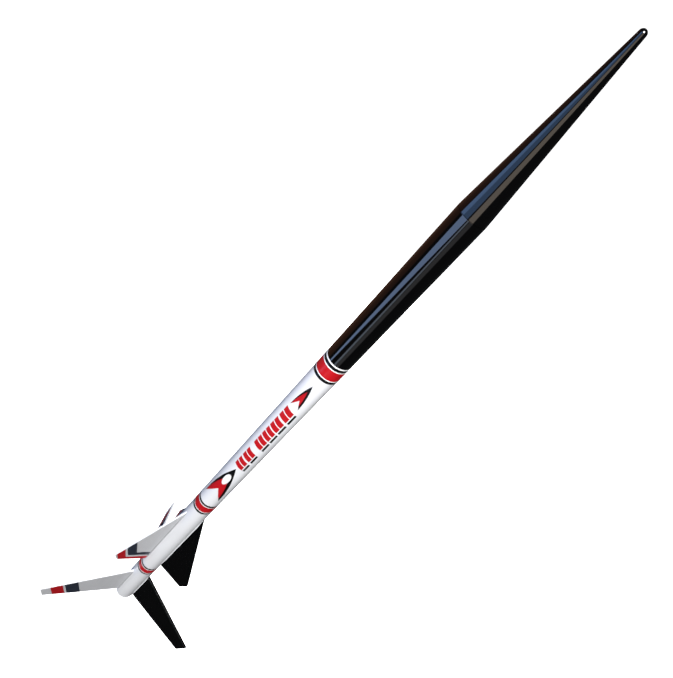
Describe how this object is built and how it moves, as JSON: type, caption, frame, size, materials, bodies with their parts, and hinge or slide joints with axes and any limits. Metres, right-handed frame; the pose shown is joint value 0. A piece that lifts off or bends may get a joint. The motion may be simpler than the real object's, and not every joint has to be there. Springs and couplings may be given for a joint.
{
  "type": "model rocket",
  "caption": "Long slender model rocket: paper airframe with swept forward and aft fins, slip-in hollow nose, launch lugs, and a clip-in engine mount with its engine.",
  "frame": {"origin": "centre of the body tube's tail end, on the rocket's axis", "axes": "+Z along the axis towards the nose; +Y along the black fins"},
  "size_m": [0.2648, 0.2294, 1.1717],
  "materials": {
    "white_paint": "gloss white lacquer on paper tube",
    "black_paint": "gloss black lacquer on paper tube",
    "white_fin": "balsa sheet with gloss white lacquer",
    "black_fin": "balsa sheet with gloss black lacquer",
    "black_plastic": "gloss blow-moulded plastic",
    "bare_paper": "bare spiral-wound kraft paper",
    "grey_paper": "pressed grey fibre",
    "spring_steel": "plain spring steel",
    "casing_paper": "rolled paper casing",
    "clay": "pressed dry clay",
    "charge": "pressed black powder grain",
    "film": "thin plastic film, folded and rolled",
    "tissue": "crumpled tissue"
  },
  "bodies": {
    "airframe": {"lower_body_tube": "white_paint", "middle_body_tube": "white_paint", "upper_body_tube": "black_paint", "tube_coupler_lower": "bare_paper", "tube_coupler_upper": "bare_paper", "aft_fin_1": "black_fin", "aft_fin_2": "white_fin", "aft_fin_3": "white_fin", "forward_fin_1": "black_fin", "forward_fin_2": "white_fin", "forward_fin_3": "white_fin", "launch_lug_aft": "white_paint", "launch_lug_forward": "white_paint", "centering_ring_aft": "grey_paper", "centering_ring_forward": "grey_paper", "hook_retaining_ring": "grey_paper", "recovery_wadding": "tissue", "shock_cord_anchor": "tissue", "engine_mount_tube": "bare_paper", "engine_block": "grey_paper"},
    "nose": {"nose_cone": "black_plastic", "nose_cone_base": "black_plastic", "parachute": "film"},
    "hook": {"engine_hook": "spring_steel"},
    "engine": {"engine_casing": "casing_paper", "engine_nozzle": "clay", "engine_propellant": "charge", "engine_delay": "grey_paper", "engine_ejection_charge": "charge", "engine_end_cap": "clay"}
  },
  "joints": [
    {"name": "nose_slide", "type": "slide", "parent": "airframe", "child": "nose", "axis": [0, 0, 1], "range_m": [0, 0.15]},
    {"name": "hook_flex", "type": "hinge", "parent": "airframe", "child": "hook", "pos_m": [0, -0.013, 0.0713], "axis": [-1, 0, 0], "range_deg": [0, 2], "stiffness_Nm_per_rad": 0.3},
    {"name": "engine_slide", "type": "slide", "parent": "airframe", "child": "engine", "axis": [0, 0, -1], "range_m": [0, 0.08], "deforming": ["engine_hook"]}
  ]
}
